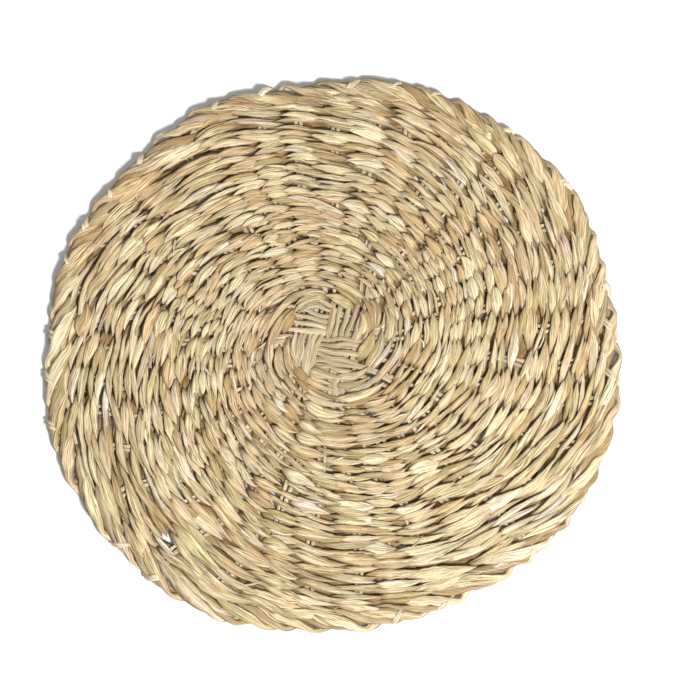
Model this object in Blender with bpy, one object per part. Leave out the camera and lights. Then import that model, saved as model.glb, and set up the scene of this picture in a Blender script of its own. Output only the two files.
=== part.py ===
"""Round seagrass placemat, modelled as the one flat solid that it is.

The mat lies flat on its underside. Its outline is the slightly oval, uneven circle of a hand-woven mat, with
one shallow scallop where each spoke is turned down, and its rim is a low rolled edge round a level face.
Metres, +Z up, the origin at the centre of the underside.
"""

from math import cos, pi, radians, sin

import bmesh
import bpy

# ---- driving dimensions, in metres ----
MAT_RADIUS = 0.1902  # mean radius, over the scallops' mean
BODY_THICKNESS = 0.0062  # a spoke with weft above and below it
ROLL_HEIGHT = 0.0076  # top of the rolled edge
ROLL_WIDTH = 0.0170  # from the outline to where the level face begins
EDGE_HEIGHT = 0.0034  # height of the outermost line of the roll
UNDERSIDE_INSET = 0.0032  # from the outline to where the underside leaves the table

SPOKES = 39  # an odd count, so that one weft alternates over and under them
SCALLOP_DEPTH = 0.0016  # from the crest to the dip beside it
STEPS_A_SCALLOP = 6  # points along each scallop
ROLL_STEPS = 9  # points up and over the rolled edge
FACE_RINGS = 3  # rings of the level face, between the roll and the centre

# The hand-woven outline departs from a circle by these waves.
# (waves round the mat, swell in metres, direction of a peak in degrees from +X)
OUTLINE_WAVES = (
    (2, 0.0029, 31),
    (3, 0.0010, -32),
    (4, 0.0019, -38),
    (5, 0.0012, -28),
    (8, 0.0009, -21),
    (9, 0.0009, -2),
)

# ---- finish ----
STRAW = (0.56, 0.45, 0.27, 1.0)
STRAW_ROUGHNESS = 0.72


def clear_scene():
    for obj in list(bpy.data.objects):
        bpy.data.objects.remove(obj, do_unlink=True)


def straw_material():
    material = bpy.data.materials.new("seagrass")
    material.use_nodes = True
    shader = material.node_tree.nodes["Principled BSDF"]
    shader.inputs["Base Color"].default_value = STRAW
    shader.inputs["Roughness"].default_value = STRAW_ROUGHNESS
    shader.inputs["Metallic"].default_value = 0.0
    return material


def smooth_outline(angle):
    """Radius of the outline before its scallops."""
    swell = sum(size * cos(waves * (angle - radians(peak))) for waves, size, peak in OUTLINE_WAVES)
    return MAT_RADIUS + swell


def scallop(angle):
    """Height of the scallop at this angle, from -1/2 in a dip to 1/2 on a crest, uneven from spoke to spoke."""
    crest = abs(cos(SPOKES * angle / 2)) ** 0.7
    unevenness = 0.75 + 0.25 * sin(5 * angle + 0.6) * cos(7 * angle)
    return (crest - 0.5) * unevenness


def roll_profile():
    """(inset from the outline, height) of each point, from the underside over the rolled edge to the face."""
    rise = ROLL_HEIGHT - EDGE_HEIGHT
    crown = ROLL_WIDTH * 0.42
    points = [(UNDERSIDE_INSET, 0.0), (UNDERSIDE_INSET * 0.3, EDGE_HEIGHT * 0.3), (0.0, EDGE_HEIGHT)]
    for step in range(1, ROLL_STEPS + 1):
        turn = pi / 2 * step / ROLL_STEPS
        points.append((crown * (1 - cos(turn)), EDGE_HEIGHT + rise * sin(turn)))
    for share in (0.3, 0.65, 1.0):
        ease = 0.5 - 0.5 * cos(pi * share)
        height = ROLL_HEIGHT + (BODY_THICKNESS - ROLL_HEIGHT) * ease
        points.append((crown + (ROLL_WIDTH - crown) * share, height))
    return points


def ring(mesh, radius_at, height):
    """One closed ring of points at this height."""
    count = SPOKES * STEPS_A_SCALLOP
    angles = [2 * pi * step / count for step in range(count)]
    return [mesh.verts.new((radius_at(a) * cos(a), radius_at(a) * sin(a), height)) for a in angles]


def join_rings(mesh, lower, upper):
    count = len(lower)
    for step in range(count):
        after = (step + 1) % count
        face = mesh.faces.new((lower[step], lower[after], upper[after], upper[step]))
        face.smooth = True


def level_face(mesh, rim, height, facing_up):
    """Fills the rim with flat rings and a fan round the centre."""
    count = len(rim)
    outer = rim
    for inner_ring in range(FACE_RINGS, 0, -1):
        share = inner_ring / (FACE_RINGS + 1)
        inner = [mesh.verts.new((v.co.x * share, v.co.y * share, height)) for v in rim]
        for step in range(count):
            after = (step + 1) % count
            corners = (outer[step], outer[after], inner[after], inner[step])
            mesh.faces.new(corners if facing_up else corners[::-1])
        outer = inner
    centre = mesh.verts.new((0.0, 0.0, height))
    for step in range(count):
        corners = (outer[step], outer[(step + 1) % count], centre)
        mesh.faces.new(corners if facing_up else corners[::-1])


def centre_on_origin(mesh):
    """Slides the mesh sideways until its extent is centred on the origin."""
    reach_x = [v.co.x for v in mesh.verts]
    reach_y = [v.co.y for v in mesh.verts]
    middle = ((min(reach_x) + max(reach_x)) / 2, (min(reach_y) + max(reach_y)) / 2, 0.0)
    bmesh.ops.translate(mesh, verts=mesh.verts, vec=[-place for place in middle])


def build_mat():
    mesh = bmesh.new()
    rings = []
    for inset, height in roll_profile():
        # The scallops fade as the roll runs in to the face.
        fade = max(0.0, 1 - inset / ROLL_WIDTH)

        def radius_at(angle, inset=inset, fade=fade):
            return smooth_outline(angle) + SCALLOP_DEPTH * scallop(angle) * fade - inset

        rings.append(ring(mesh, radius_at, height))
    for lower, upper in zip(rings, rings[1:]):
        join_rings(mesh, lower, upper)
    level_face(mesh, rings[-1], BODY_THICKNESS, facing_up=True)
    level_face(mesh, rings[0], 0.0, facing_up=False)
    centre_on_origin(mesh)
    bmesh.ops.recalc_face_normals(mesh, faces=mesh.faces)
    data = bpy.data.meshes.new("mat")
    mesh.to_mesh(data)
    mesh.free()
    data.materials.append(straw_material())
    mat = bpy.data.objects.new("mat", data)
    bpy.context.scene.collection.objects.link(mat)
    return mat


def main():
    clear_scene()
    build_mat()


main()
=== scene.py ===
"""Round seagrass placemat: every leaf of the weave, as a Blender add-on that is run as a script.

The mat is made as its maker makes it. Four bundles of leaf are plaited over each other at the
centre and open into spokes, one leaf weft runs round them in a long spiral, over one and under
one, and the ends of the spokes are turned down along the rim.
"""

import math
from collections import Counter
from functools import partial
from typing import NamedTuple

import bpy
import numpy as np
from bpy.props import FloatProperty, FloatVectorProperty, IntProperty, PointerProperty
from bpy.types import Operator, Panel, PropertyGroup
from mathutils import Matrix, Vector


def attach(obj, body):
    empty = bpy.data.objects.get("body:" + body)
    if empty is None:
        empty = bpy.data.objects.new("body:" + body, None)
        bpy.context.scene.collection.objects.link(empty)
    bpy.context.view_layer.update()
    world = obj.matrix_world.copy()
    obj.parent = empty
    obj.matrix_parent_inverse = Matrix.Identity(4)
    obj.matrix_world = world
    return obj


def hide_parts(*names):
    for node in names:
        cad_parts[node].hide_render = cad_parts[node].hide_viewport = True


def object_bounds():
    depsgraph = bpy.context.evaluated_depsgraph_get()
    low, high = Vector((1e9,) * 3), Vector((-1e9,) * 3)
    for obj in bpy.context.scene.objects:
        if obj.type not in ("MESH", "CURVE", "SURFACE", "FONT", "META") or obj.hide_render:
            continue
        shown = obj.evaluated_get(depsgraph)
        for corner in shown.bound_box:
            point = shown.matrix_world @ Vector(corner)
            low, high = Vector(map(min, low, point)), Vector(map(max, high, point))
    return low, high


bl_info = {
    "name": "Seagrass Placemat",
    "version": (1, 0, 0),
    "blender": (4, 5, 0),
    "location": "View3D > Sidebar > Placemat",
    "description": "Weaves a round seagrass placemat leaf by leaf on the packed frame",
    "category": "Object",
}

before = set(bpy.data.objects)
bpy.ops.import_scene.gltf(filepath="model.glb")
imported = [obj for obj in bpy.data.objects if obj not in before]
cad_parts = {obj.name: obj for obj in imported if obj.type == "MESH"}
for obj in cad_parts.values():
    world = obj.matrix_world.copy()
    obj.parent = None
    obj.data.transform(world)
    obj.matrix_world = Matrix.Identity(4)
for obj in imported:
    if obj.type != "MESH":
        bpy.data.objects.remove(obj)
CAD_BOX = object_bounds()
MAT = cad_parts["mat"]
TAU = 2 * math.pi
MM = 0.001


# ---- the plait and its spokes ----
class Bundle(NamedTuple):
    """One of the four bundles of leaf that cross at the centre, and how it lies there."""

    direction: float  # in degrees
    offset: float  # sideways from the plait's centre, in mm
    leaves: int
    width: float  # in mm
    over_first: int  # 1 over, -1 under, at the crossing nearer its first end
    over_last: int  # the same at the crossing nearer its last end
    fan: float  # turn of each leaf from the one beside it, in degrees
    last_arm: int  # the arm that its last end opens into, as a number in ARMS
    first_arm: int  # the arm that its first end opens into


class Arm(NamedTuple):
    """One arm of the plait, where its spokes have fanned out."""

    first: float  # direction of its first spoke, in degrees
    last: float  # direction of its last spoke
    spokes: int

    def angles(self):
        """Direction of each spoke, in radians."""
        fan, gaps = self.last - self.first, self.spokes - 1
        return [math.radians(self.first + fan * k / gaps) for k in range(self.spokes)]


BUNDLES = (
    Bundle(-17, 10.5, 6, 21.0, 1, -1, -4.0, 0, 3),
    Bundle(-12, -13.0, 7, 25.0, -1, 1, 2.0, 7, 4),
    Bundle(77, 12.0, 6, 20.0, 1, -1, 2.5, 2, 5),
    Bundle(74, -13.0, 7, 26.0, -1, 1, 3.0, 1, 6),
)
ARMS = (
    Arm(8, 47, 6),
    Arm(54, 89, 5),
    Arm(98, 137, 5),
    Arm(147, 179, 5),
    Arm(189, 216, 4),
    Arm(226, 255, 4),
    Arm(265, 306, 5),
    Arm(316, 357, 5),
)
PLAIT_CENTRE = np.array((-4.0, 10.0)) * MM  # from the middle of the mat
# Directions in degrees of the groups that the inner weft passes over or under, one to an arm. One
# arm is parted in two, which makes the count odd, so that a single weft alternates turn by turn.
GROUPS = (23, 68, 113, 158, 202, 236, 257, 294, 339)
# In the next zone the spokes run in pairs and singles, as many in each group as written here.
PAIRED = (2, 1, 2, 1, 2, 2, 1, 2, 1, 2, 1, 2, 2, 1, 1, 2, 1, 2, 1, 2, 2, 1, 2, 1, 2)


def smooth(low, high, x):
    """0 below low, 1 above high, and an easy curve between."""
    t = np.clip((np.asarray(x, float) - low) / (high - low), 0, 1)
    return t * t * (3 - 2 * t)


def wander(rng, at, length, waves=5):
    """Smooth random values of about unit size along at, whose swings are about length long."""
    at = np.asarray(at, float)
    total = np.zeros_like(at)
    for _ in range(waves):
        total += np.sin(TAU * at / (length * rng.uniform(0.6, 1.8)) + rng.uniform(0, TAU))
    return total / math.sqrt(waves / 2)


def uneven(rng, radius, angle, size, waves=9):
    """Smooth random values over the mat, of about unit size, in patches about size across."""
    total = np.zeros(np.broadcast(radius, angle).shape)
    x, y = radius * np.cos(angle), radius * np.sin(angle)
    for _ in range(waves):
        turn = rng.uniform(0, TAU)
        pace = TAU / (size * rng.uniform(0.8, 2.2))
        total += np.sin(pace * (x * math.cos(turn) + y * math.sin(turn)) + rng.uniform(0, TAU))
    return total / math.sqrt(waves / 2)


def smoothed(values, weights):
    """The values averaged with their neighbours, by these weights."""
    weights = np.array(weights)
    padded = np.pad(values, len(weights) // 2, "edge")
    return np.convolve(padded, weights / weights.sum(), "valid")


# ---- where things lie ----
def rim_line():
    """(angles, radii) of the CAD mat's outermost line."""
    points = np.array([v.co for v in MAT.data.vertices])
    reach = np.hypot(points[:, 0], points[:, 1])
    edge_height = points[reach.argmax(), 2]
    edge = points[np.abs(points[:, 2] - edge_height) < 0.01 * MM]
    angle = np.arctan2(edge[:, 1], edge[:, 0]) % TAU
    order = angle.argsort()
    return angle[order], np.hypot(edge[:, 0], edge[:, 1])[order]


RIM_ANGLES, RIM_RADII = rim_line()
RIM_MEAN = float(RIM_RADII.mean())
CALM_SPREAD = np.radians((-10, -5, 0, 5, 10))  # about a spoke to either side
# Shares of the mat's radius in which rows are centred on the plait, and show its four corners.
CENTRED = 0.30
CORNERED = 0.24
CORNER_DEPTH = 0.045  # as a share of the row's radius
CORNER_TURN = math.radians(-14)


def rim_radius(angle):
    return np.interp(np.asarray(angle) % TAU, RIM_ANGLES, RIM_RADII, period=TAU)


def calm_rim(angle):
    """The rim without its scallops: the average over a few spokes."""
    return np.mean([rim_radius(np.asarray(angle) + s) for s in CALM_SPREAD], axis=0)


def place(radius, angle):
    """(x, y) of a point of the weave. Rows are round the plait at the centre, and follow the rim
    further out."""
    share = np.clip(radius / RIM_MEAN, 0, 1.2)
    stretch = 1 + (calm_rim(angle) / RIM_MEAN - 1) * share**2
    off_centre = np.exp(-((share / CENTRED) ** 2))
    square = np.exp(-((share / CORNERED) ** 2)) * np.cos(4 * (angle - CORNER_TURN))
    reach = radius * stretch * (1 - CORNER_DEPTH * square)
    x = reach * np.cos(angle) + PLAIT_CENTRE[0] * off_centre
    y = reach * np.sin(angle) + PLAIT_CENTRE[1] * off_centre
    return x, y


def spoke_angles():
    """Direction of every spoke in the field, in radians, going round from +X."""
    return np.array([angle for arm in ARMS for angle in arm.angles()])


def spoke_gaps():
    """Angle from each spoke to the next, in radians."""
    angles = spoke_angles()
    return np.diff(np.append(angles, angles[0] + TAU))


def spoke_drift(radius, angle):
    """How far a spoke strays from its straight line at this radius, in radians."""
    return math.radians(1.5) * uneven(np.random.default_rng(3), radius, angle, 70 * MM, 5)


# ---- strands ----
LOOKS = ("tone", "olive", "bleach", "warm", "streak", "painted_shade")
PAINTED_SHADE_EDGE = (0.82, 0.97)  # where the painted shade along a leaf's edges begins and is full, from the leaf's middle to its edge
MAP_SPACING = 3.0  # how far apart the leaves lie in the UV map, so that no two look alike


def strand(path, width, height, looks, roll=0.0, twist=0.0, sides=10, grooves=2, depth=0.14):
    """One leaf: a flattened tube along path. width and height are half of its section's.

    roll turns the flattened section about the path, and twist turns the leaf inside it, so that
    its grooves wind round. depth is the grooves' depth as a share. looks holds one value, or one
    for each point of path, under each name in LOOKS but the painted shade, which is painted along
    the edges, where shade falls between the leaves.
    """
    count = len(path)
    along = np.gradient(path, axis=0)
    along /= np.linalg.norm(along, axis=1, keepdims=True)
    outward = np.cross(along, (0.0, 0.0, 1.0))
    outward /= np.linalg.norm(outward, axis=1, keepdims=True)
    upward = np.cross(outward, along)
    width, height, roll, twist = (
        np.broadcast_to(value, count)[:, None] for value in (width, height, roll, twist)
    )
    leaf = TAU * np.arange(sides)[None, :] / sides
    turn = leaf + twist
    groove = 1 - depth * (0.5 + 0.5 * np.cos(grooves * leaf)) ** 2
    across = width * groove * np.cos(turn)
    raised = height * groove * np.sin(turn)
    sideways = across * np.cos(roll) - raised * np.sin(roll)
    lifted = across * np.sin(roll) + raised * np.cos(roll)
    points = path[:, None] + outward[:, None] * sideways[..., None]
    points = points + upward[:, None] * lifted[..., None]
    steps = np.linalg.norm(np.diff(path, axis=0), axis=1)
    return {
        "points": points,
        "length": np.concatenate([[0.0], np.cumsum(steps)]),
        # Painted shade along the leaf's edges, where shade falls between leaves.
        "looks": {**looks, "painted_shade": smooth(*PAINTED_SHADE_EDGE, np.abs(np.cos(turn)))},
        "upward": np.sin(turn),
    }


def add_painted_shade(made, *amounts):
    """Adds more painted shade to a strand, each amount one value or one for each point of its path.
    """
    for amount in amounts:
        made["looks"]["painted_shade"] = made["looks"]["painted_shade"] + amount
    made["looks"]["painted_shade"] = np.clip(made["looks"]["painted_shade"], 0, 1)


def leaf_map(length, sides):
    """UVs of a strand's quads and its two end caps: metres along the leaf, and turns round it."""
    turn = np.arange(sides) / sides
    below, above = length[:-1, None], length[1:, None]
    left, right = turn[None, :], turn[None, :] + 1 / sides
    corners = ((below, left), (above, left), (above, right), (below, right))
    quads = np.stack([np.stack(np.broadcast_arrays(*pair), -1) for pair in corners], axis=2)
    ends = np.repeat(length[[0, -1]], sides)
    caps = np.stack([ends, np.concatenate([turn, turn[::-1]])], axis=-1)
    return [quads.reshape(-1, 2), caps]


def join_strands(name, strands, material):
    """One mesh object of all these strands, smooth, with closed ends, a UV map along each leaf,
    and its looks."""
    points, starts, totals, corners, maps = [], [], [], [], []
    looks = {key: [] for key in LOOKS}
    base, loop = 0, 0
    for number, one in enumerate(strands):
        count, sides = one["points"].shape[:2]
        points.append(one["points"].reshape(-1, 3))
        ring = np.arange(sides)
        after = (ring + 1) % sides
        i = np.arange(count - 1)[:, None] * sides
        quads = np.stack([i + ring, i + sides + ring, i + sides + after, i + after], axis=-1)
        caps = np.stack([ring, (count - 1) * sides + ring[::-1]])
        corners += [base + quads.ravel(), base + caps.ravel()]
        quad_count = (count - 1) * sides
        starts += [loop + 4 * np.arange(quad_count), loop + 4 * quad_count + sides * np.arange(2)]
        totals += [np.full(quad_count, 4), np.full(2, sides)]
        maps += leaf_map(one["length"] + MAP_SPACING * number, sides)
        for key in LOOKS:
            value = np.asarray(one["looks"][key], float)
            if value.ndim < 2:
                value = value.reshape(-1, 1)
            looks[key].append(np.broadcast_to(value, (count, sides)).ravel())
        base += count * sides
        loop += 4 * quad_count + 2 * sides

    points, corners, starts = (np.concatenate(part) for part in (points, corners, starts))
    mesh = bpy.data.meshes.new(name)
    mesh.vertices.add(len(points))
    mesh.vertices.foreach_set("co", points.astype(np.float32).ravel())
    mesh.loops.add(len(corners))
    mesh.loops.foreach_set("vertex_index", corners.astype(np.int32))
    mesh.polygons.add(len(starts))
    mesh.polygons.foreach_set("loop_start", starts.astype(np.int32))
    mesh.polygons.foreach_set("loop_total", np.concatenate(totals).astype(np.int32))
    layer = mesh.uv_layers.new(name="leaf")
    layer.uv.foreach_set("vector", np.concatenate(maps).astype(np.float32).ravel())
    for key in LOOKS:
        values = mesh.attributes.new(key, "FLOAT", "POINT")
        values.data.foreach_set("value", np.concatenate(looks[key]).astype(np.float32))
    mesh.polygons.foreach_set("use_smooth", np.ones(len(starts), bool))
    mesh.update(calc_edges=True)
    mesh.validate()
    mesh.materials.append(material)
    obj = bpy.data.objects.new(name, mesh)
    bpy.context.scene.collection.objects.link(obj)
    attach(obj, "root")
    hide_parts("mat")
    return obj


def leaf_looks(rng):
    """Random looks of one leaf: mostly straw, some olive, warm or sun-bleached."""
    return {
        "tone": rng.beta(1.15, 1.3),
        "olive": np.clip(rng.normal(0.06, 0.36), 0, 1),
        "bleach": np.clip(rng.normal(-0.12, 0.46), 0, 1),
        "warm": np.clip(rng.normal(0.25, 0.42), 0, 1),
        "streak": rng.uniform(0, 1),
    }


# ---- materials ----
NODE_APART = (200, 190)  # from column to column and from row to row of a node tree


def add_node(tree, kind, **values):
    made = tree.nodes.new(kind)
    for key, value in values.items():
        setattr(made, key, value)
    return made


def feed(tree, sockets, values):
    """Sets sockets, by name or number, to values, and links those that are another's output."""
    for key, value in values.items():
        if isinstance(value, bpy.types.NodeSocket):
            tree.links.new(value, sockets[key])
        else:
            sockets[key].default_value = value


def maths(tree, operation, *values):
    made = add_node(tree, "ShaderNodeMath", operation=operation)
    feed(tree, made.inputs, dict(enumerate(values)))
    return made.outputs[0]


def blend_colour(tree, factor, first, second, mode="MIX"):
    made = add_node(tree, "ShaderNodeMix", data_type="RGBA", blend_type=mode)
    feed(tree, made.inputs, {0: factor, 6: first, 7: second})
    return made.outputs[2]


def fit_range(tree, value, low, high, to_low=0.0, to_high=1.0):
    made = add_node(tree, "ShaderNodeMapRange", interpolation_type="SMOOTHSTEP")
    feed(tree, made.inputs, {"Value": value, "From Min": low, "From Max": high})
    feed(tree, made.inputs, {"To Min": to_low, "To Max": to_high})
    return made.outputs["Result"]


def lay_out(tree):
    """Sets the nodes in columns, each to the right of all that feed it."""
    column = {node.name: 0 for node in tree.nodes}
    for _ in tree.nodes:
        for link in tree.links:
            first, second = link.from_node.name, link.to_node.name
            column[second] = max(column[second], column[first] + 1)
    filled = Counter()
    for node in tree.nodes:
        at = column[node.name]
        node.location = (NODE_APART[0] * at, -NODE_APART[1] * filled[at])
        filled[at] += 1


def leaf_space(tree):
    """Outputs (u, round x, round y): metres along the leaf, and a unit circle round it, which has
    no seam."""
    uv = add_node(tree, "ShaderNodeUVMap", uv_map="leaf")
    parts = add_node(tree, "ShaderNodeSeparateXYZ")
    tree.links.new(uv.outputs[0], parts.inputs[0])
    turn = maths(tree, "MULTIPLY", parts.outputs[1], TAU)
    cosine = maths(tree, "COSINE", turn)
    sine = maths(tree, "SINE", turn)
    return parts.outputs[0], cosine, sine


# Noise over the leaf: features to the metre along it, and to the unit circle round it, detail, and
# roughness.
NOISES = {
    "broad": (28.0, 0.55, 2.0, 0.55),
    "side": (9.0, 0.9, 1.0, 0.55),
    "fibre": (50.0, 6.0, 2.0, 0.6),
    "fine": (150.0, 15.0, 2.0, 0.6),
    "fold": (26.0, 2.6, 1.0, 0.55),
    "specks": (260.0, 2.6, 3.0, 0.7),
}
FIBRE_LIGHT = (1.25, 1.03)  # how much the fibres lighten and darken the leaf, and its mean
CREASE_WIDTH = 0.055
CREASE_DARK, SPECK_DARK, PAINTED_SHADE_DARK = 0.95, 0.35, 0.88  # how much of each is the crease colour: the crease lines, the specks and the painted shade
LEAF_ROUGHNESS = 0.55


def leaf_noise(tree, space, along, around, detail, roughness):
    """Noise stretched along the leaf, from one row of NOISES."""
    vector = add_node(tree, "ShaderNodeCombineXYZ")
    for socket, value, pace in zip(vector.inputs, space, (along, around, around)):
        tree.links.new(maths(tree, "MULTIPLY", value, pace), socket)
    noise = add_node(tree, "ShaderNodeTexNoise")
    feed(tree, noise.inputs, {"Vector": vector.outputs[0], "Scale": 1.0})
    feed(tree, noise.inputs, {"Detail": detail, "Roughness": roughness})
    return noise.outputs["Fac"]


def leaf_group():
    """Node group of dry leaf: its mixed colours, fibre, creases, specks and painted shade, for
    every material.
    """
    tree = bpy.data.node_groups.new("dry_leaf", "ShaderNodeTree")
    face = tree.interface
    for name in ("Straw", "Tan", "Olive", "Warm", "Bleached", "Crease and shade"):
        face.new_socket(name=name, in_out="INPUT", socket_type="NodeSocketColor")
    for name in ("Fibre", "Creases"):
        socket = face.new_socket(name=name, in_out="INPUT", socket_type="NodeSocketFloat")
        socket.default_value = 1.0
    face.new_socket(name="Colour", in_out="OUTPUT", socket_type="NodeSocketColor")
    for name in ("Roughness", "Height"):
        face.new_socket(name=name, in_out="OUTPUT", socket_type="NodeSocketFloat")
    given = add_node(tree, "NodeGroupInput").outputs
    out = add_node(tree, "NodeGroupOutput").inputs
    calc, fit, blend = (partial(kind, tree) for kind in (maths, fit_range, blend_colour))
    space = leaf_space(tree)
    look = {}
    for key in LOOKS:
        node = add_node(tree, "ShaderNodeAttribute", attribute_name=key)
        look[key] = node.outputs["Fac"]
    noises = [leaf_noise(tree, space, *noise) for noise in NOISES.values()]
    broad, side, fibre, fine, fold, specks = noises

    # Each leaf keeps its own tone and tints, which come and go along it.
    off_mean = calc("SUBTRACT", broad, 0.5)
    tone = calc("MULTIPLY", off_mean, 1.5)
    tone = calc("ADD", look["tone"], tone)
    tone = fit(tone, -0.05, 1.05)
    colour = blend(tone, given["Straw"], given["Tan"])
    tints = (
        (look["olive"], side, 0.35, 0.65, "Olive"),
        (look["warm"], broad, 0.4, 0.6, "Warm"),
        (look["bleach"], side, 0.62, 0.38, "Bleached"),
    )
    for own, noise, low, high, name in tints:
        colour = blend(calc("MULTIPLY", own, fit(noise, low, high)), colour, given[name])

    # Fibres are thin darker and paler lines.
    fibre_line = fit(fibre, 0.34, 0.66)
    fine_line = fit(fine, 0.34, 0.66)
    coarse = calc("MULTIPLY", fibre_line, 0.55)
    lines = calc("MULTIPLY_ADD", fine_line, 0.45, coarse)
    lines = calc("SUBTRACT", lines, 0.5)
    line_share = calc("MULTIPLY", lines, given["Fibre"])
    brighter = calc("MULTIPLY_ADD", line_share, *FIBRE_LIGHT)

    # A crease is a dark line where the fold noise crosses its middle.
    off_fold = calc("SUBTRACT", fold, 0.5)
    off_fold = calc("ABSOLUTE", off_fold)
    crease = fit(off_fold, 0.0, CREASE_WIDTH, 1.0, 0.0)
    crease = calc("MULTIPLY", crease, given["Creases"])
    streaky = fit(look["streak"], -0.3, 0.7)
    crease = calc("MULTIPLY", crease, streaky)
    dark = calc("MULTIPLY", crease, CREASE_DARK)
    colour = blend(dark, colour, given["Crease and shade"])
    speck = fit(specks, 0.66, 0.76)
    speck = calc("MULTIPLY", speck, SPECK_DARK)
    colour = blend(speck, colour, given["Crease and shade"])
    grey = add_node(tree, "ShaderNodeCombineColor")
    for socket in grey.inputs[:3]:
        tree.links.new(brighter, socket)
    colour = blend(1.0, colour, grey.outputs[0], "MULTIPLY")
    # Painted shade: the leaf darkens towards the crease colour where shade falls.
    painted_shade = calc("MULTIPLY", look["painted_shade"], PAINTED_SHADE_DARK)
    colour = blend(painted_shade, colour, given["Crease and shade"])

    rough = calc("MULTIPLY_ADD", lines, -0.22, LEAF_ROUGHNESS)
    rough = calc("MULTIPLY_ADD", crease, 0.15, rough)
    ridge = calc("MULTIPLY_ADD", crease, -0.9, line_share)
    ridge = calc("MULTIPLY_ADD", fold, 0.8, ridge)
    feed(tree, out, {"Colour": colour, "Roughness": rough, "Height": ridge})
    lay_out(tree)
    return tree


def leaf_material(name, colours, paler, creases, bump):
    """A Principled leaf material fed by the dry leaf group.

    Its leaf colours are moved towards the bleached one by paler, and bump is in metres.
    """
    material = bpy.data.materials.new(name)
    material.use_nodes = True
    tree = material.node_tree
    shader = tree.nodes["Principled BSDF"].inputs
    feed(tree, shader, {"Specular IOR Level": 0.5, "Sheen Weight": 0.08, "Sheen Roughness": 0.5})
    leaf = add_node(tree, "ShaderNodeGroup")
    leaf.node_tree = bpy.data.node_groups.get("dry_leaf") or leaf_group()
    bleached = np.array(colours.bleached)
    for key in ("Straw", "Tan", "Olive", "Warm", "Bleached"):
        own = np.array(getattr(colours, key.lower()))
        leaf.inputs[key].default_value = (*(own + (bleached - own) * paler), 1.0)
    feed(tree, leaf.inputs, {"Crease and shade": (*colours.crease, 1.0), "Creases": creases})
    made = leaf.outputs
    relief = add_node(tree, "ShaderNodeBump")
    feed(tree, relief.inputs, {"Strength": 0.8, "Distance": bump, "Height": made["Height"]})
    feed(tree, shader, {"Base Color": made["Colour"], "Roughness": made["Roughness"]})
    feed(tree, shader, {"Normal": relief.outputs["Normal"]})
    lay_out(tree)
    return material


# ---- the plait and the spokes ----
LEAF_APART = 0.52  # how far a spoke's leaves lie from its middle, as a share of their width
ROUTE_STEP = 1.2  # step along a spoke, as a share of the weft's
PLAIT_POINTS = 15
FAN_POINTS = 12
FAN_PULL = 0.42  # how stiffly a leaf bends into its spoke, as a share of the way
# The crossings' distance from the plait's middle and their half width, as shares of its half width.
CROSSING_AT, CROSSING_HALF = 0.52, 0.50


def bezier(start, start_pull, end_pull, end, steps):
    t = np.linspace(0, 1, steps)[:, None]
    first = (1 - t) ** 3 * start + 3 * (1 - t) ** 2 * t * start_pull
    return first + 3 * (1 - t) * t**2 * end_pull + t**3 * end


def resample(path, step):
    """The same line with points about step apart."""
    lengths = np.linalg.norm(np.diff(path, axis=0), axis=1)
    lengths = np.concatenate([[0.0], np.cumsum(lengths)])
    count = max(4, int(lengths[-1] / step) + 1)
    at = np.linspace(0, lengths[-1], count)
    return np.stack([np.interp(at, lengths, path[:, k]) for k in range(path.shape[1])], axis=1)


def arm_leaves(arm):
    """(angle, side) of every leaf of this arm's spokes, in order round the mat."""
    return [(angle, side) for angle in ARMS[arm].angles() for side in (-1, 1)]


def spoke_route(sizes, rng, leaf, start):
    """Points of a leaf of a spoke from the radius start on, straight out with a slight wander."""
    angle, side = leaf
    radius = np.arange(start, sizes.spoke_end, sizes.step_length * ROUTE_STEP)
    apart = side * sizes.spoke_leaf * LEAF_APART
    drift = 0.35 * MM * wander(rng, radius, 40 * MM)
    turn = angle + (apart + drift) / radius + spoke_drift(radius, angle)
    x, y = place(radius, turn)
    z = np.full(len(radius), sizes.middle_height) + 0.12 * MM * wander(rng, radius, 25 * MM)
    return np.stack([x, y, z], axis=1)


def plait_leaf(sizes, rng, bundle, number, out_leaf, in_leaf):
    """Centre part of one leaf of a bundle: from one arm through the plait to the arm opposite."""
    from_middle = number - (bundle.leaves - 1) / 2
    turn = math.radians(bundle.direction + bundle.fan * from_middle + rng.normal(0, 3.0))
    forward = np.array((math.cos(turn), math.sin(turn)))
    aside = np.array((-forward[1], forward[0]))
    lane = bundle.offset * MM + from_middle * bundle.width * MM / bundle.leaves
    lane = lane + rng.normal(0, 0.25 * MM)
    centre = PLAIT_CENTRE + aside * lane
    half, fan_radius = sizes.plait_half, sizes.fan_radius
    share = np.linspace(-1, 1, PLAIT_POINTS)
    bends = (1 - share**2) * wander(rng, share, 0.9) * 0.6 * MM
    straight = half * share[:, None] * forward + bends[:, None] * aside + centre
    ends = []
    for (angle, side), sign in ((in_leaf, -1), (out_leaf, 1)):
        bend = angle + side * sizes.spoke_leaf * LEAF_APART / fan_radius
        goal = np.array(place(fan_radius, bend + float(spoke_drift(fan_radius, angle))))
        away = np.array((math.cos(bend), math.sin(bend)))
        start = centre + forward * sign * half
        pull = FAN_PULL * np.linalg.norm(goal - start)
        start_pull = start + forward * sign * pull
        ends.append(bezier(start, start_pull, goal - away * pull, goal, FAN_POINTS))
    flat = np.concatenate([ends[0][::-1][:-1], straight, ends[1][1:]])
    along = (flat - PLAIT_CENTRE) @ forward
    level = 0.0
    for over, sign in ((bundle.over_first, 1), (bundle.over_last, -1)):
        off = (along + sign * half * CROSSING_AT) / (half * CROSSING_HALF)
        level = level + over * np.exp(-(off**4))
    height = sizes.middle_height + level * sizes.plait_lift
    return np.concatenate([flat, height[:, None]], axis=1)


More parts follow.
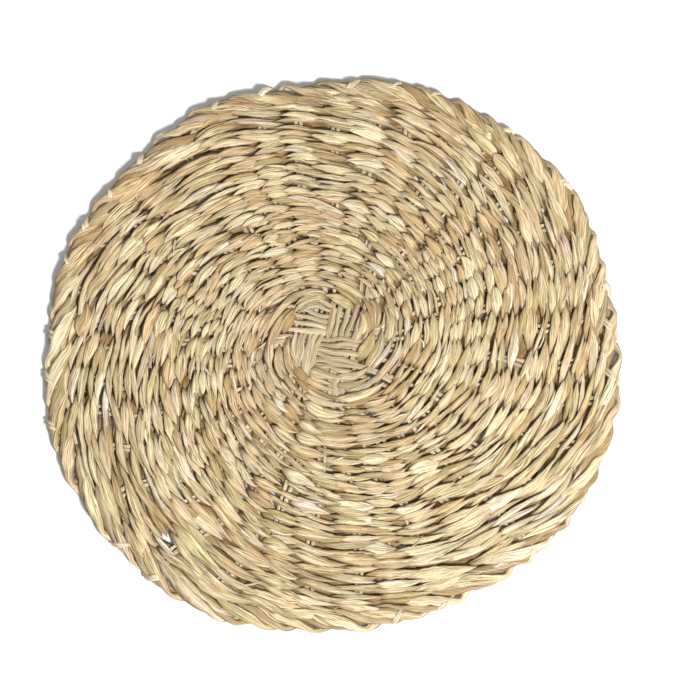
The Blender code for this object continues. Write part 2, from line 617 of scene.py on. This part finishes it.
def plaited_strand(sizes, rng, path):
    """A leaf of the plait or of a spoke. In the plait it is fuller, darker and greener."""
    along = np.linspace(0, 1, len(path))
    reach = np.hypot(path[:, 0], path[:, 1]) / (1.25 * sizes.plait_half)
    near = np.exp(-(reach**4))
    wide = sizes.spoke_leaf / 2 * (1 + 0.54 * near) * (1 + 0.14 * wander(rng, along, 0.10))
    thick = sizes.spoke_thickness / 2 * (1 + 0.95 * near)
    roll = 0.16 * wander(rng, along, 0.15) + 0.25 * near * rng.normal()
    look = leaf_looks(rng)
    look["tone"] = np.clip(look["tone"] * (0.7 + 0.3 * near) + 0.12 * near, 0, 1)
    look["olive"] = np.clip(look["olive"] + 0.30 * near, 0, 1)
    look["warm"] = look["warm"] * (1 - 0.7 * near)
    made = strand(path, wide, thick, look, roll, depth=0.24)
    # Painted shade over the whole leaf, as the spokes lie deep under the weft; the plait's leaves
    # are darker still towards its middle.
    add_painted_shade(made, 0.20, 0.22 * near[:, None])
    return made


def plait_and_spokes(sizes, seed):
    """Every leaf of the four bundles from rim to rim, and the leaves between that make up the
    spokes."""
    rng = np.random.default_rng(seed)
    used = {arm: set() for arm in range(len(ARMS))}
    strands = []
    for bundle in BUNDLES:
        outs, ins = arm_leaves(bundle.last_arm), arm_leaves(bundle.first_arm)
        # Leaves count to the left of the bundle's direction, with the angles at its last end.
        for number in range(bundle.leaves):
            out_number = round(number * (len(outs) - 1) / (bundle.leaves - 1))
            in_number = len(ins) - 1 - round(number * (len(ins) - 1) / (bundle.leaves - 1))
            used[bundle.last_arm].add(out_number)
            used[bundle.first_arm].add(in_number)
            out_leaf, in_leaf = outs[out_number], ins[in_number]
            middle = plait_leaf(sizes, rng, bundle, number, out_leaf, in_leaf)
            before = spoke_route(sizes, rng, in_leaf, sizes.fan_radius + 2 * MM)
            after = spoke_route(sizes, rng, out_leaf, sizes.fan_radius + 2 * MM)
            path = np.concatenate([before[::-1], middle, after])
            path = resample(path, sizes.step_length * ROUTE_STEP)
            strands.append(plaited_strand(sizes, rng, path))
    for arm, taken in used.items():
        for number, leaf in enumerate(arm_leaves(arm)):
            if number not in taken:
                start = sizes.fan_radius + rng.uniform(-2, 8) * MM
                path = spoke_route(sizes, rng, leaf, start)
                strands.append(plaited_strand(sizes, rng, path))
    return strands


# ---- the weft ----
WIDE_GAP = math.radians(25)  # a gap this wide is bridged by a shorter float
FIRST_GAP = math.radians(20)
FLOAT_SIDES, HIDDEN_SIDES = 10, 8


def paired_groups():
    """Direction in radians of each pair or single spoke in the zone of pairs and singles."""
    spokes = spoke_angles()
    ends = np.cumsum(PAIRED)
    return [float(spokes[end - count : end].mean()) for count, end in zip(PAIRED, ends)]


def row_radius(sizes, turns):
    """Nominal radius of the weft after this many turns: rows are closer near the centre."""
    fine = (sizes.fine_end - sizes.inner_start) / sizes.inner_pitch
    inner = sizes.inner_start + sizes.inner_pitch * min(turns, fine)
    return inner + sizes.field_pitch * max(0.0, turns - fine)


def crossings(sizes):
    """The weft's crossings in order: cumulative angle and nominal radius of each, as arrays."""
    angle, radius = [], []
    arms, pairs, singles = [math.radians(a) for a in GROUPS], paired_groups(), spoke_angles()
    turn = 0
    while True:
        begins = row_radius(sizes, turn)
        here = arms if begins < sizes.arms_end else pairs if begins < sizes.pairs_end else singles
        for direction in here:
            r = row_radius(sizes, turn + direction / TAU)
            if r > sizes.field_end:
                return np.array(angle), np.array(radius)
            angle.append(turn * TAU + direction + spoke_drift(r, direction))
            radius.append(r)
        turn += 1


def row_pull(nominal, theta):
    """How far the rows stray outwards here, in metres: little at the plait, more in the field."""
    fade = smooth(25 * MM, 52 * MM, nominal)
    return 0.9 * MM * fade * uneven(np.random.default_rng(8), nominal, theta, 45 * MM)


def weft_float(sizes, rng, crossing, pitch, face, share, aside):
    """One pass of the weft over a spoke, or under it when face is -1: a slanting leaf with
    pointed ends.

    share is its part of the usual width, and aside how far it lies off the crossing, as a share
    of that width. Its far end lies on top of the next leaf, and its near end is tucked under the
    one before.
    """
    theta, before, after, radius = crossing
    theta += rng.normal(0.0, 0.06) * (before + after)
    reach = sizes.float_reach * rng.normal(1.0, 0.11) * (1 if before < WIDE_GAP else 0.8)
    back, ahead = reach * before, reach * after
    steps = int(np.clip(round((back + ahead) * radius / sizes.step_length), 9, 24))
    s = np.linspace(-1, 1, steps if face > 0 else max(7, int(steps * 0.7)))
    along = np.where(s < 0, back, ahead) * s
    slope = math.tan(sizes.slant + rng.normal(0, math.radians(3.6)))
    full = sizes.weft_leaf * pitch * share
    bow = 0.09 * pitch * np.sin(math.pi * s) * rng.normal(1, 1.0)
    lean = slope * along * radius + bow
    lean += aside * sizes.weft_leaf * pitch + rng.normal(0, 0.08) * pitch
    angle = theta + along
    x, y = place(radius + lean + row_pull(radius, angle), angle)
    near, far = np.clip(-s, 0, 1), np.clip(s, 0, 1)
    dive = sizes.near_dive * near**1.7 - sizes.far_rise * far + sizes.far_rise * 1.2 * far**5
    half_gap = (sizes.spoke_thickness + sizes.weft_thickness) / 2
    z = sizes.middle_height + face * (half_gap + rng.normal(0.0, 0.14) * MM - dive)
    # The leaf is full at the crossing and pointed at its ends.
    fullness = (1 - np.abs(s) ** sizes.float_fullness) ** 0.95
    half_width = full / 2 * fullness * (1 + 0.22 * rng.normal() * s) + 0.18 * MM
    half_width *= 1 + 0.05 * wander(rng, along * radius, 8 * MM)
    half_height = sizes.weft_thickness / 2 * (0.30 + 0.70 * fullness)
    half_height = half_height * (0.6 + 0.4 * min(share, 1.0))
    roll = rng.normal(0.0, 0.14 if face > 0 else 0.05) + 0.12 * s * face
    twist = rng.uniform(0, TAU) + rng.normal(0.20, 0.20) * s
    folds = rng.uniform(0.05, 0.40) ** 1.2
    path = np.stack([x, y, z], axis=1)
    sides = FLOAT_SIDES if face > 0 else HIDDEN_SIDES
    made = strand(path, half_width, half_height, leaf_looks(rng), roll, twist, sides, 3, folds)
    # The tucked end gets painted shade, and so does the upper side of a pass beneath the spokes.
    shade = 0.55 + 0.35 * (1 - float(smooth(60 * MM, 90 * MM, radius)))
    tucked = shade * smooth(0.35, 0.95, near)[:, None]
    inside = 0.75 * smooth(-0.3, 0.6, made["upward"]) if face < 0 else 0.0
    # The passes are darker towards the centre of the mat as well.
    darker_centre = 0.24 * (1 - float(smooth(35 * MM, 75 * MM, radius)))
    add_painted_shade(made, tucked, inside, darker_centre)
    return made


def weft(sizes, seed, first_radius, last_radius, face):
    """The passes of the one spiral weft between two radii, over the spokes or under them."""
    angle, radius = crossings(sizes)
    rng = np.random.default_rng(seed)
    loose = uneven(rng, radius, angle, 60 * MM)
    strands = []
    for n in range(len(angle)):
        over = n % 2 == 0
        if over != (face > 0) or not first_radius <= radius[n] < last_radius:
            continue
        before = angle[n] - angle[n - 1] if n > 0 else FIRST_GAP
        after = angle[n + 1] - angle[n] if n + 1 < len(angle) else before
        pitch = sizes.inner_pitch if radius[n] < sizes.fine_end else sizes.field_pitch
        wide = float(np.clip(rng.normal(1.0, 0.15), 0.66, 1.38))
        wide *= 1 - 0.25 * float(smooth(0.8, 1.7, loose[n] + rng.normal(0, 0.6)))
        if face < 0:
            wide = float(rng.normal(1.30, 0.05))
        elif radius[n] < sizes.arms_end:
            wide = max(wide * 1.15, 1.0)
        elif rng.uniform() < sizes.open_share:
            wide *= 0.62
        if face > 0 and rng.uniform() < sizes.split_share:
            part = rng.uniform(0.34, 0.66)
            for share, aside in ((part + 0.06, -(1 - part) / 2), (1.06 - part, part / 2)):
                apart = rng.normal(0.0, 0.05) * (before + after)
                crossing = (angle[n] + apart, before, after, radius[n])
                made = weft_float(sizes, rng, crossing, pitch, face, wide * share, aside)
                strands.append(made)
        else:
            crossing = (angle[n], before, after, radius[n])
            strands.append(weft_float(sizes, rng, crossing, pitch, face, wide, 0.0))
    return strands


# ---- the rim ----
# The way of a turned-down spoke end: share of its run along the rim, inset from the edge in mm,
# height over the middle in mm, and share of its width.
RIM_ROUTE = (
    (-0.10, 15.0, -0.2, 0.12),
    (0.04, 12.8, 1.0, 0.45),
    (0.18, 10.8, 1.9, 0.82),
    (0.36, 8.6, 2.3, 1.00),
    (0.54, 6.4, 2.4, 0.98),
    (0.72, 4.2, 2.2, 0.82),
    (0.86, 2.2, 1.6, 0.62),
    (0.97, 0.3, 0.5, 0.48),
    (1.04, 1.0, -0.9, 0.50),
    (1.14, 4.0, -1.6, 0.75),
    (1.34, 8.0, -1.7, 0.95),
    (1.56, 11.0, -1.5, 0.80),
    (1.78, 13.5, -0.7, 0.45),
    (1.90, 15.0, 0.0, 0.20),
)
# The way of a stitch, in the same columns, but its first is a share of the gap to the next spoke.
STITCH_ROUTE = (
    (-0.26, 9.0, -2.0, 0.5),
    (-0.18, 5.5, -2.3, 0.9),
    (-0.11, 2.8, -1.9, 1.0),
    (-0.06, 1.3, -0.9, 0.95),
    (-0.02, 0.9, 0.3, 0.95),
    (0.02, 1.4, 1.6, 1.0),
    (0.06, 2.8, 2.6, 1.0),
    (0.11, 4.8, 3.1, 1.0),
    (0.16, 6.8, 2.7, 0.95),
    (0.21, 8.6, 1.7, 0.8),
    (0.26, 10.2, 0.5, 0.6),
    (0.30, 11.5, -0.3, 0.4),
)
RIM_POINTS, STITCH_POINTS = 46, 26
RIM_WEIGHTS, STITCH_WEIGHTS = (1, 2, 3, 2, 1), (1, 2, 1)  # they round off the corners of a route


def rim_path(sizes, theta, depth, rise):
    """Path along the rim, from its angles, insets from the edge in mm, and heights in mm."""
    radius = rim_radius(theta) - depth * MM
    z = sizes.middle_height + rise * MM
    return np.stack([radius * np.cos(theta), radius * np.sin(theta), z], axis=1)


def rim_strands(sizes, seed):
    """The turned-down spoke ends: each slants out along the rim, wraps over its edge and is tucked
    in beneath."""
    rng = np.random.default_rng(seed)
    strands = []
    angles, gaps = spoke_angles(), spoke_gaps()
    share, inset, height, width = np.array(RIM_ROUTE).T
    at = np.linspace(share[0], share[-1], RIM_POINTS)
    part = np.interp(at, share, width)
    # Each spoke has two leaves: the second is turned down under the first and half a spoke later.
    turns = [(n, angle, under) for under in (False, True) for n, angle in enumerate(angles)]
    for number, angle, under in turns:
        run = (gaps[number] + gaps[(number + 1) % len(gaps)]) * rng.uniform(0.54, 0.70)
        theta = angle + run * at + (gaps[number] * 0.5 if under else 0.0)
        proud = rng.uniform(-0.9, 0.8) - (1.2 if under else 0.0)
        depth = np.interp(at, share, inset) * rng.uniform(0.92, 1.06) - proud
        rise = np.interp(at, share, height) * (0.5 if under else 1.0) + rng.normal(0, 0.15)
        depth, rise = smoothed(depth, RIM_WEIGHTS), smoothed(rise, RIM_WEIGHTS)
        half = sizes.rim_leaf / 2 * part * rng.uniform(0.78, 1.18)
        half = half * (1 + 0.06 * wander(rng, at, 0.3))
        thick = sizes.weft_thickness / 2 * (1.1 + 0.2 * (1 - part))
        turned_in = smooth(1.0, 1.3, at) - smooth(0.60, 0.98, at)
        roll = 0.55 * turned_in + rng.normal(0, 0.08)
        look = leaf_looks(rng)
        look["warm"] = min(1.0, look["warm"] + 0.15)
        path = rim_path(sizes, theta, depth, rise)
        twist = -0.9 * at + rng.uniform(0, TAU)
        made = strand(path, half, thick, look, roll, twist, 12, 3, rng.uniform(0.1, 0.35))
        # The leaf turned down under the other gets painted shade.
        add_painted_shade(made, 0.55 if under else 0.0)
        strands.append(made)
    return strands


def rim_stitches(sizes, seed):
    """The leaf of some spokes that comes back over the edge and is tucked steeply in under the
    next turn."""
    rng = np.random.default_rng(seed)
    strands = []
    at = np.linspace(0, 1, STITCH_POINTS)
    ends = np.linspace(0, 1, len(STITCH_ROUTE))
    columns = [np.interp(at, ends, column) for column in np.array(STITCH_ROUTE).T]
    along, inset, height = (smoothed(column, STITCH_WEIGHTS) for column in columns[:3])
    for angle, gap in zip(spoke_angles(), spoke_gaps()):
        if rng.uniform() < 0.5:
            continue
        start = angle + gap * rng.uniform(0.55, 0.70)
        short = rng.uniform(0.45, 0.95)
        leaves = 2 if rng.uniform() < 0.6 else 1
        for leaf in range(leaves):
            depth = inset * np.where(columns[1] > 2, short, 1)
            beside = (leaf - (leaves - 1) / 2) * 3.0 * MM
            theta = start + gap * along * rng.uniform(0.9, 1.1) + beside / RIM_MEAN
            path = rim_path(sizes, theta, depth, height + rng.normal(0, 0.12))
            half = columns[3] * sizes.spoke_leaf / 2
            half = half * (1.0 if leaves == 2 else 1.35) * rng.uniform(0.85, 1.15)
            look = leaf_looks(rng)
            look["bleach"] = min(1.0, look["bleach"] + 0.1)
            strands.append(strand(path, half, sizes.spoke_thickness / 2 * 0.85, look))
    return strands


# ---- loose ends ----
def loose_ends(sizes, seed):
    """Short ends of leaf where one weft gave out and the next was laid in, and split fibres."""
    rng = np.random.default_rng(seed)
    strands = []
    at = np.linspace(0, 1, 14)
    arch = np.sin(math.pi * np.clip(at * 0.75 + 0.05, 0, 1))
    top = sizes.middle_height + sizes.spoke_thickness / 2 + sizes.weft_thickness
    z = top + (-1.3 + 1.6 * arch) * MM
    for _ in range(sizes.loose_ends):
        radius = math.sqrt(rng.uniform(0.05, 0.80)) * RIM_MEAN
        angle = rng.uniform(0, TAU)
        length = rng.uniform(7, 17) * MM
        slope = rng.uniform(0.05, 0.5) * rng.choice((-1, 1), p=(0.3, 0.7))
        bow = rng.normal(0, 0.8) * MM
        reach = radius + slope * length * at + bow * np.sin(math.pi * at)
        theta = angle + length * at / radius * math.sqrt(max(0.1, 1 - slope**2))
        x, y = place(reach, theta)
        half = rng.uniform(0.45, 1.1) * MM * (1 - 0.75 * at**3) * smooth(-0.3, 0.2, at)
        look = leaf_looks(rng)
        look["bleach"] = min(1.0, look["bleach"] + 0.35)
        path, roll = np.stack([x, y, z], axis=1), rng.normal(0, 0.3)
        strands.append(strand(path, half, 0.22 * MM, look, roll, 1.2 * at, sides=8, depth=0.1))
    return strands


# ---- settings ----
def metres(name, description, default):
    """Property for a size, in metres."""
    return FloatProperty(name=name, description=description, default=default, unit="LENGTH")


def tint(name, description, default):
    """Property for a colour."""
    return FloatVectorProperty(
        name=name, description=description, default=default, subtype="COLOR", size=3
    )


class WeaveSizes(PropertyGroup):
    """Sizes of the leaf and of the weave."""

    middle_height: metres("Middle height", "Height of the spokes' middle over the table", 3.78 * MM)
    spoke_leaf: metres("Spoke leaf", "Width of one of a spoke's two leaves", 3.3 * MM)
    spoke_thickness: metres("Spoke thickness", "Thickness of a spoke", 1.3 * MM)
    weft_leaf: FloatProperty(
        name="Weft leaf",
        description="Width of the weft over a spoke, as a share of the rows' pitch",
        default=2.50,
    )
    weft_thickness: metres("Weft thickness", "Thickness of the weft over a spoke", 2.0 * MM)
    rim_leaf: metres("Rim leaf", "Width of a turned-down spoke end", 8.6 * MM)
    inner_start: metres("First turn", "Radius of the weft's first turn", 24.5 * MM)
    inner_pitch: metres("Inner pitch", "Distance from turn to turn near the centre", 3.15 * MM)
    arms_end: metres("Arms end", "Radius where the arms part into pairs and singles", 46.0 * MM)
    fine_end: metres("Fine end", "Radius where the rows grow wider apart", 94.0 * MM)
    pairs_end: metres("Pairs end", "Radius where the pairs part into single spokes", 76.0 * MM)
    field_pitch: metres("Field pitch", "Distance from turn to turn in the field", 3.85 * MM)
    field_end: metres("Field end", "Radius of the weft's last turn", 179.5 * MM)
    field_split: metres("Field split", "Radius where the field weft changes piece", 118.0 * MM)
    fan_radius: metres("Fan radius", "Radius where the arms have fanned out", 66.0 * MM)
    spoke_end: metres("Spoke end", "Radius where the spokes turn down", 180.0 * MM)
    plait_half: metres("Half plait", "Half the width of the plait at the centre", 24.0 * MM)
    plait_lift: metres("Plait lift", "How far a bundle rises over the one it crosses", 0.95 * MM)
    float_reach: FloatProperty(
        name="Float reach",
        description="How far a pass reaches to the next spoke, as a share",
        default=0.71,
    )
    float_fullness: FloatProperty(
        name="Float fullness", description="How full a pass is towards its pointed ends",
        default=1.75,
    )
    near_dive: metres("Near dive", "How deep the near end of a pass is tucked", 2.1 * MM)
    far_rise: metres("Far rise", "How much the far end of a pass lies higher", 0.45 * MM)
    slant: FloatProperty(
        name="Slant", description="How steeply each pass leans outwards",
        default=math.radians(10.5), subtype="ANGLE",
    )
    open_share: FloatProperty(
        name="Open passes",
        description="Share of the passes so narrow that the spoke shows beside them",
        default=0.06,
    )
    split_share: FloatProperty(
        name="Split leaves",
        description="Share of the passes that are two narrower leaves side by side",
        default=0.80,
    )
    step_length: metres("Step", "Distance between the points along a leaf", 2.3 * MM)
    loose_ends: IntProperty(
        name="Loose ends", description="Short leaf ends on the face", default=46
    )
    seed: IntProperty(name="Seed", description="Starts the random choices", default=7)


class LeafColours(PropertyGroup):
    """Colours of the dry leaf."""

    straw: tint("Straw", "Commonest leaf colour", (0.79, 0.66, 0.425))
    tan: tint("Tan", "Darker, older leaf", (0.50, 0.35, 0.16))
    olive: tint("Olive", "Leaf that dried green", (0.50, 0.43, 0.18))
    warm: tint("Warm", "Pinkish leaf", (0.76, 0.56, 0.345))
    bleached: tint("Bleached", "Sun-bleached leaf", (0.87, 0.80, 0.68))
    # Also the colour of the painted shade at leaf edges, tucked ends and other shaded places.
    crease: tint("Crease and shade", "Dirt in creases and specks", (0.21, 0.105, 0.02))


class StudioSettings(PropertyGroup):
    """The floor, the lights and the camera."""

    floor: tint("Floor", "Colour of the floor", (0.86, 0.86, 0.86))
    elevation: FloatProperty(
        name="Elevation", description="Camera's angle over the floor",
        default=math.radians(77), subtype="ANGLE",
    )
    distance: metres("Distance", "Camera's distance from the mat", 2.0)
    view_width: metres("View width", "Width of the view at the mat", 0.4625)
    key_power: FloatProperty(
        name="Key power", description="Power of the main light in watts", default=88.0
    )
    fill_power: FloatProperty(
        name="Fill power", description="Power of the fill light in watts", default=4.0
    )
    sky: FloatProperty(name="Sky", description="Strength of the light from all round", default=0.34)


# ---- operators ----
class PLACEMAT_OT_spokes(Operator):
    """Plait the four bundles at the centre and lay the spokes out to the rim"""

    bl_idname = "placemat.spokes"
    bl_label = "Plait and Spokes"

    def execute(self, context):
        sizes, colours = context.scene.weave_sizes, context.scene.leaf_colours
        material = leaf_material("spoke_leaf", colours, 0.25, 0.7, 0.25 * MM)
        join_strands("plait_and_spokes", plait_and_spokes(sizes, sizes.seed), material)
        return {"FINISHED"}


class PLACEMAT_OT_rim(Operator):
    """Turn the spokes' ends down along the rim and tuck them in"""

    bl_idname = "placemat.rim"
    bl_label = "Turned-down Rim"

    def execute(self, context):
        sizes, colours = context.scene.weave_sizes, context.scene.leaf_colours
        material = leaf_material("rim_leaf", colours, 0.0, 1.0, 0.3 * MM)
        join_strands("turned_down_rim", rim_strands(sizes, sizes.seed + 20), material)
        pale = leaf_material("stitch_leaf", colours, 0.3, 0.6, 0.25 * MM)
        join_strands("rim_stitches", rim_stitches(sizes, sizes.seed + 30), pale)
        return {"FINISHED"}


class PLACEMAT_OT_loose_ends(Operator):
    """Lay the short loose ends of leaf over the face"""

    bl_idname = "placemat.loose_ends"
    bl_label = "Loose Ends"

    def execute(self, context):
        sizes, colours = context.scene.weave_sizes, context.scene.leaf_colours
        material = leaf_material("loose_leaf", colours, 0.2, 0.6, 0.2 * MM)
        join_strands("loose_leaf_ends", loose_ends(sizes, sizes.seed + 40), material)
        return {"FINISHED"}


class PLACEMAT_OT_weft(Operator):
    """Carry the weft round the arms and then round the single spokes, out to the rim"""

    bl_idname = "placemat.weft"
    bl_label = "Weft"

    def execute(self, context):
        sizes, colours = context.scene.weave_sizes, context.scene.leaf_colours
        material = leaf_material("weft_leaf", colours, 0.0, 1.0, 0.3 * MM)
        reaches = (
            ("inner_weft", 0.0, sizes.field_split, 1),
            ("field_weft", sizes.field_split, sizes.field_end, 1),
            ("weft_beneath", 0.0, sizes.field_end, -1),
        )
        for number, (name, first, last, face) in enumerate(reaches):
            strands = weft(sizes, sizes.seed + 10 + number, first, last, face)
            join_strands(name, strands, material)
        return {"FINISHED"}


def area_light(name, power, size, place_at, aim, colour):
    data = bpy.data.lights.new(name, "AREA")
    data.energy = power
    data.size = size
    data.color = colour
    lamp = bpy.data.objects.new(name, data)
    lamp.location = place_at
    lamp.rotation_mode = "QUATERNION"
    lamp.rotation_quaternion = (Vector(aim) - Vector(place_at)).to_track_quat("-Z", "Y")
    bpy.context.scene.collection.objects.link(lamp)


KEY_AT, KEY_SIZE, KEY_COLOUR = (1.02, -1.32, 1.75), 0.45, (1.0, 0.985, 0.96)
FILL_AT, FILL_SIZE, FILL_COLOUR = (-1.2, 0.6, 1.6), 1.6, (0.97, 0.985, 1.0)
AIM_OFFSET = Vector((0.0115, 0.0006, 0.0))  # from the mat's middle to the middle of the view
FLOOR_SIZE = 12.0
SENSOR_WIDTH = 36.0  # in mm


class PLACEMAT_OT_stage(Operator):
    """Lay the floor and set up the lights and the camera"""

    bl_idname = "placemat.stage"
    bl_label = "Stage"

    def execute(self, context):
        scene, studio = context.scene, context.scene.studio_settings
        low, high = CAD_BOX
        bpy.ops.mesh.primitive_grid_add(
            x_subdivisions=8, y_subdivisions=8, size=FLOOR_SIZE, location=(0, 0, low.z)
        )
        floor = context.object
        floor.name = "floor"
        paint = bpy.data.materials.new("floor_paint")
        paint.use_nodes = True
        shader = paint.node_tree.nodes["Principled BSDF"]
        shader.inputs["Base Color"].default_value = (*studio.floor, 1.0)
        shader.inputs["Roughness"].default_value = 0.9
        shader.inputs["Specular IOR Level"].default_value = 0.1
        floor.data.materials.append(paint)

        middle = (low + high) / 2
        area_light("key", studio.key_power, KEY_SIZE, KEY_AT, middle, KEY_COLOUR)
        area_light("fill", studio.fill_power, FILL_SIZE, FILL_AT, middle, FILL_COLOUR)

        world = bpy.data.worlds.new("studio")
        world.use_nodes = True
        background = world.node_tree.nodes["Background"]
        background.inputs["Color"].default_value = (1.0, 1.0, 1.0, 1.0)
        background.inputs["Strength"].default_value = studio.sky
        scene.world = world
        scene.view_settings.view_transform = "Standard"
        scene.view_settings.look = "None"

        data = bpy.data.cameras.new("camera")
        data.sensor_width = SENSOR_WIDTH
        data.lens = data.sensor_width * studio.distance / studio.view_width
        camera = bpy.data.objects.new("camera", data)
        back = Vector((0.0, -math.cos(studio.elevation), math.sin(studio.elevation)))
        camera.location = middle + AIM_OFFSET + back * studio.distance
        camera.rotation_mode = "QUATERNION"
        camera.rotation_quaternion = (-back).to_track_quat("-Z", "Y")
        scene.collection.objects.link(camera)
        scene.camera = camera
        return {"FINISHED"}


STEPS = (
    PLACEMAT_OT_spokes,
    PLACEMAT_OT_rim,
    PLACEMAT_OT_loose_ends,
    PLACEMAT_OT_weft,
    PLACEMAT_OT_stage,
)
SETTINGS = (
    (WeaveSizes, "weave_sizes"),
    (LeafColours, "leaf_colours"),
    (StudioSettings, "studio_settings"),
)


class PLACEMAT_PT_panel(Panel):
    """The placemat's steps and settings"""

    bl_label = "Seagrass Placemat"
    bl_idname = "PLACEMAT_PT_panel"
    bl_space_type = "VIEW_3D"
    bl_region_type = "UI"
    bl_category = "Placemat"

    def draw(self, context):
        column = self.layout.column(align=True)
        for operator in STEPS:
            column.operator(operator.bl_idname)
        for settings, name in SETTINGS:
            box = self.layout.box()
            for key in settings.__annotations__:
                box.prop(getattr(context.scene, name), key)


def register():
    for settings, name in SETTINGS:
        bpy.utils.register_class(settings)
        setattr(bpy.types.Scene, name, PointerProperty(type=settings))
    for step in STEPS:
        bpy.utils.register_class(step)
    bpy.utils.register_class(PLACEMAT_PT_panel)


def unregister():
    bpy.utils.unregister_class(PLACEMAT_PT_panel)
    for step in reversed(STEPS):
        bpy.utils.unregister_class(step)
    for settings, name in reversed(SETTINGS):
        delattr(bpy.types.Scene, name)
        bpy.utils.unregister_class(settings)


def run_step(step):
    """Runs one operator by its bl_idname. One that doesn't finish stops the script."""
    group, name = step.bl_idname.split(".")
    result = getattr(getattr(bpy.ops, group), name)()
    if result != {"FINISHED"}:
        raise RuntimeError(f"{step.bl_label} didn't finish")


def main():
    register()
    for step in STEPS:
        run_step(step)
    bpy.context.view_layer.update()


if __name__ == "__main__":
    main()
